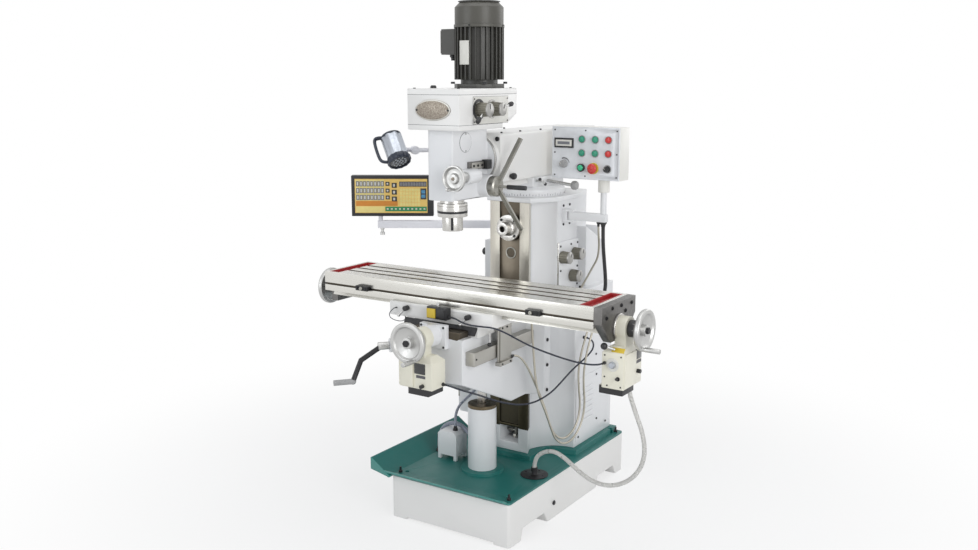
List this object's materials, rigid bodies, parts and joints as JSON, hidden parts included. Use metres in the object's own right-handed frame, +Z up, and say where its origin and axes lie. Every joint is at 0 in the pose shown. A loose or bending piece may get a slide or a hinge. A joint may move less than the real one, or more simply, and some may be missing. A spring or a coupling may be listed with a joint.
{
  "type": "knee milling machine",
  "caption": "Knee-type milling machine with a slotted table on a saddle, a tilting vertical head on a swivelling ram, a horizontal spindle, power feeds, a control panel and a readout.",
  "frame": {"origin": "on the floor, at the centre of the four anchor holes in the base", "axes": "+X along the table to the operator's right, +Y from the operator to the column, +Z up"},
  "size_m": [1.6639, 1.3599, 2.102],
  "materials": {
    "white_paint": "gloss enamel paint over cast iron",
    "white_sheet": "gloss enamel paint",
    "green_paint": "teal enamel paint",
    "ground_iron": "ground",
    "bright_steel": "ground and polished",
    "chrome": "plated",
    "motor_black": "satin charcoal paint",
    "cream_case": "cream paint, black base",
    "knob_grey": "satin",
    "black_rubber": "matt",
    "black_plastic": "matt",
    "red_tray": "satin",
    "hose_grey": "ribbed, cloudy",
    "armoured_cable": "wound metal sheath",
    "green_button": "gloss",
    "red_button": "gloss",
    "grey_plastic": "satin",
    "lamp_silver": "silver lacquer"
  },
  "bodies": {
    "stand": {"base_casting": "white_paint", "chip_tray": "green_paint", "screw_pedestal": "white_sheet", "coolant_fittings": "white_sheet", "column_casting": "white_paint", "column_covers": "bright_steel", "electrical_cabinet": "white_sheet", "arm_brackets": "white_sheet", "drain_hose": "hose_grey", "feed_cable": "black_rubber", "scale_cable": "armoured_cable", "panel_conduit": "black_rubber"},
    "knee": {"knee_casting": "white_paint", "cross_feed_unit": "cream_case"},
    "saddle": {"saddle_casting": "white_paint", "limit_switch": "black_plastic", "way_cover": "black_rubber", "switch_cable": "black_rubber"},
    "table": {"table_casting": "ground_iron", "trough_trays": "red_tray", "table_end_brackets": "ground_iron", "long_feed_unit": "cream_case"},
    "turret": {"turret_base": "white_paint"},
    "ram": {"ram": "white_paint"},
    "head": {"head_casting": "white_paint", "gearbox_housing": "white_paint", "motor": "motor_black"},
    "horizontal_spindle": {"horizontal_spindle": "bright_steel"},
    "elevating_screw": {"elevating_screw": "bright_steel"},
    "crank_handle": {"crank_handle": "bright_steel"},
    "cross_handwheel": {"cross_handwheel": "bright_steel"},
    "table_handwheels": {"table_handwheels": "bright_steel"},
    "quill": {"quill": "bright_steel"},
    "vertical_spindle": {"vertical_spindle": "bright_steel"},
    "quill_lever": {"quill_lever": "bright_steel"},
    "fine_feed_wheel": {"fine_feed_wheel": "chrome"},
    "panel_arm": {"panel_arm": "white_sheet"},
    "panel_box": {"panel_box": "white_sheet"},
    "emergency_stop": {"emergency_stop": "red_button"},
    "readout_arm": {"readout_arm": "white_sheet"},
    "readout_console": {"readout_console": "black_plastic"},
    "lamp_arm": {"lamp_arm": "lamp_silver"},
    "lamp_head": {"lamp_head": "lamp_silver"},
    "panel_selector": {"panel_selector": "black_plastic"},
    "panel_dial": {"panel_dial": "grey_plastic"},
    "table_lock_left": {"table_lock_left": "chrome"},
    "table_lock_right": {"table_lock_right": "chrome"},
    "table_stop_left": {"table_stop_left": "bright_steel"},
    "table_stop_right": {"table_stop_right": "bright_steel"},
    "gear_knob_1": {"gear_knob_1": "knob_grey"},
    "gear_knob_2": {"gear_knob_2": "knob_grey"},
    "gear_knob_3": {"gear_knob_3": "knob_grey"},
    "head_knob_1": {"head_knob_1": "knob_grey"},
    "head_knob_2": {"head_knob_2": "knob_grey"},
    "push_button_1": {"push_button_1": "green_button"},
    "push_button_2": {"push_button_2": "green_button"},
    "push_button_3": {"push_button_3": "red_button"},
    "push_button_4": {"push_button_4": "green_button"},
    "push_button_5": {"push_button_5": "green_button"},
    "push_button_6": {"push_button_6": "red_button"}
  },
  "joints": [
    {"name": "knee_lift", "type": "slide", "parent": "stand", "child": "knee", "axis": [0, 0, 1], "range_m": [-0.015, 0.14], "deforming": ["feed_cable", "scale_cable"]},
    {"name": "saddle_cross", "type": "slide", "parent": "knee", "child": "saddle", "axis": [0, -1, 0], "range_m": [-0.14, 0.035]},
    {"name": "table_long", "type": "slide", "parent": "saddle", "child": "table", "axis": [1, 0, 0], "range_m": [-0.35, 0.35], "deforming": ["drain_hose", "switch_cable"]},
    {"name": "turret_swivel", "type": "hinge", "parent": "stand", "child": "turret", "pos_m": [0, 0.125, 1.322], "axis": [0, 0, 1], "range_deg": [-25, 18]},
    {"name": "ram_slide", "type": "slide", "parent": "turret", "child": "ram", "axis": [0, -1, 0], "range_m": [-0.03, 0.25]},
    {"name": "head_tilt", "type": "hinge", "parent": "ram", "child": "head", "pos_m": [0, -0.29, 1.5], "axis": [0, 1, 0], "range_deg": [-45, 45]},
    {"name": "quill_feed", "type": "slide", "parent": "head", "child": "quill", "axis": [0, 0, 1], "range_m": [-0.12, 0]},
    {"name": "vertical_spindle_turn", "type": "hinge", "parent": "quill", "child": "vertical_spindle", "pos_m": [0, -0.46, 1.25], "axis": [0, 0, 1], "continuous": true},
    {"name": "horizontal_spindle_turn", "type": "hinge", "parent": "stand", "child": "horizontal_spindle", "pos_m": [0, -0.06, 1.193], "axis": [0, 1, 0], "continuous": true},
    {"name": "panel_arm_swing", "type": "hinge", "parent": "stand", "child": "panel_arm", "pos_m": [0.205, 0.125, 1.24], "axis": [0, 0, 1], "range_deg": [-20, 20], "deforming": ["panel_conduit"]},
    {"name": "panel_swivel", "type": "hinge", "parent": "panel_arm", "child": "panel_box", "pos_m": [0.354, 0.125, 1.36], "axis": [0, 0, 1], "range_deg": [-15, 15]},
    {"name": "readout_arm_swing", "type": "hinge", "parent": "stand", "child": "readout_arm", "pos_m": [-0.245, 0.25, 1.154], "axis": [0, 0, -1], "range_deg": [-15, 15]},
    {"name": "readout_swivel", "type": "hinge", "parent": "readout_arm", "child": "readout_console", "pos_m": [-0.69537, -0.04247, 1.2], "axis": [0, 0, 1], "range_deg": [-20, 20]},
    {"name": "lamp_arm_swing", "type": "hinge", "parent": "ram", "child": "lamp_arm", "pos_m": [-0.122, -0.08, 1.49], "axis": [0, 0, 1], "range_deg": [-35, 15]},
    {"name": "lamp_tilt", "type": "hinge", "parent": "lamp_arm", "child": "lamp_head", "pos_m": [-0.296, -0.305, 1.522], "axis": [0.7911, -0.6117, 0], "range_deg": [-25, 25]},
    {"name": "fine_feed_turn", "type": "hinge", "parent": "head", "child": "fine_feed_wheel", "pos_m": [0.09, -0.46, 1.447], "axis": [0, 1, 0], "continuous": true},
    {"name": "table_stop_left_slide", "type": "slide", "parent": "table", "child": "table_stop_left", "axis": [1, 0, 0], "range_m": [-0.12, 0.2]},
    {"name": "table_stop_right_slide", "type": "slide", "parent": "table", "child": "table_stop_right", "axis": [1, 0, 0], "range_m": [-0.2, 0.12]},
    {"name": "table_lock_left_turn", "type": "hinge", "parent": "saddle", "child": "table_lock_left", "pos_m": [-0.185, -0.5, 0.913], "axis": [0, 1, 0], "range_deg": [0, 60]},
    {"name": "table_lock_right_turn", "type": "hinge", "parent": "saddle", "child": "table_lock_right", "pos_m": [0.112, -0.5, 0.913], "axis": [0, 1, 0], "range_deg": [0, 60]},
    {"name": "gear_knob_1_turn", "type": "hinge", "parent": "stand", "child": "gear_knob_1", "pos_m": [0.19, 0.098, 1.062], "axis": [1, 0, 0], "range_deg": [-60, 60]},
    {"name": "gear_knob_2_turn", "type": "hinge", "parent": "stand", "child": "gear_knob_2", "pos_m": [0.19, 0.207, 1.064], "axis": [1, 0, 0], "range_deg": [-60, 60]},
    {"name": "gear_knob_3_turn", "type": "hinge", "parent": "stand", "child": "gear_knob_3", "pos_m": [0.19, 0.186, 0.97], "axis": [1, 0, 0], "range_deg": [-60, 60]},
    {"name": "head_knob_1_turn", "type": "hinge", "parent": "head", "child": "head_knob_1", "pos_m": [0.14, -0.456, 1.697], "axis": [1, 0, 0], "range_deg": [-60, 60]},
    {"name": "head_knob_2_turn", "type": "hinge", "parent": "head", "child": "head_knob_2", "pos_m": [0.14, -0.366, 1.697], "axis": [1, 0, 0], "range_deg": [-60, 60]},
    {"name": "panel_selector_turn", "type": "hinge", "parent": "panel_box", "child": "panel_selector", "pos_m": [0.396, 0.06, 1.449], "axis": [0, 1, 0], "range_deg": [-45, 45]},
    {"name": "panel_dial_turn", "type": "hinge", "parent": "panel_box", "child": "panel_dial", "pos_m": [0.196, 0.06, 1.463], "axis": [0, 1, 0], "range_deg": [-135, 135]},
    {"name": "emergency_stop_press", "type": "slide", "parent": "panel_box", "child": "emergency_stop", "axis": [0, 1, 0], "range_m": [0, 0.006], "stiffness_N_per_m": 800},
    {"name": "push_button_1_press", "type": "slide", "parent": "panel_box", "child": "push_button_1", "axis": [0, 1, 0], "range_m": [0, 0.005], "stiffness_N_per_m": 500},
    {"name": "push_button_2_press", "type": "slide", "parent": "panel_box", "child": "push_button_2", "axis": [0, 1, 0], "range_m": [0, 0.005], "stiffness_N_per_m": 500},
    {"name": "push_button_3_press", "type": "slide", "parent": "panel_box", "child": "push_button_3", "axis": [0, 1, 0], "range_m": [0, 0.005], "stiffness_N_per_m": 500},
    {"name": "push_button_4_press", "type": "slide", "parent": "panel_box", "child": "push_button_4", "axis": [0, 1, 0], "range_m": [0, 0.005], "stiffness_N_per_m": 500},
    {"name": "push_button_5_press", "type": "slide", "parent": "panel_box", "child": "push_button_5", "axis": [0, 1, 0], "range_m": [0, 0.005], "stiffness_N_per_m": 500},
    {"name": "push_button_6_press", "type": "slide", "parent": "panel_box", "child": "push_button_6", "axis": [0, 1, 0], "range_m": [0, 0.005], "stiffness_N_per_m": 500},
    {"name": "elevating_screw_turn", "type": "hinge", "parent": "knee", "child": "elevating_screw", "pos_m": [0, -0.254, 0.6], "axis": [0, 0, 1], "range_deg": [-1085, 10085]},
    {"name": "crank_turn", "type": "hinge", "parent": "knee", "child": "crank_handle", "pos_m": [-0.098, -0.575, 0.793], "axis": [0.6428, 0.766, 0], "range_deg": [-1085, 10085]},
    {"name": "cross_wheel_turn", "type": "hinge", "parent": "knee", "child": "cross_handwheel", "pos_m": [0, -0.7, 0.847], "axis": [0, 1, 0], "range_deg": [-2525, 10085]},
    {"name": "long_wheels_turn", "type": "hinge", "parent": "table", "child": "table_handwheels", "pos_m": [0, -0.356, 0.918], "axis": [-1, 0, 0], "range_deg": [-25205, 25205]},
    {"name": "quill_lever_turn", "type": "hinge", "parent": "head", "child": "quill_lever", "pos_m": [0.11, -0.335, 1.4], "axis": [1, 0, 0], "range_deg": [-304.77, 5]}
  ],
  "couplings": [
    {"joint": "elevating_screw_turn", "follows": "knee_lift", "rad_per_m": 1256.6},
    {"joint": "crank_turn", "follows": "knee_lift", "rad_per_m": 1256.6},
    {"joint": "cross_wheel_turn", "follows": "saddle_cross", "rad_per_m": -1256.6},
    {"joint": "long_wheels_turn", "follows": "table_long", "rad_per_m": -1256.6},
    {"joint": "quill_lever_turn", "follows": "quill_feed", "rad_per_m": 43.6}
  ]
}
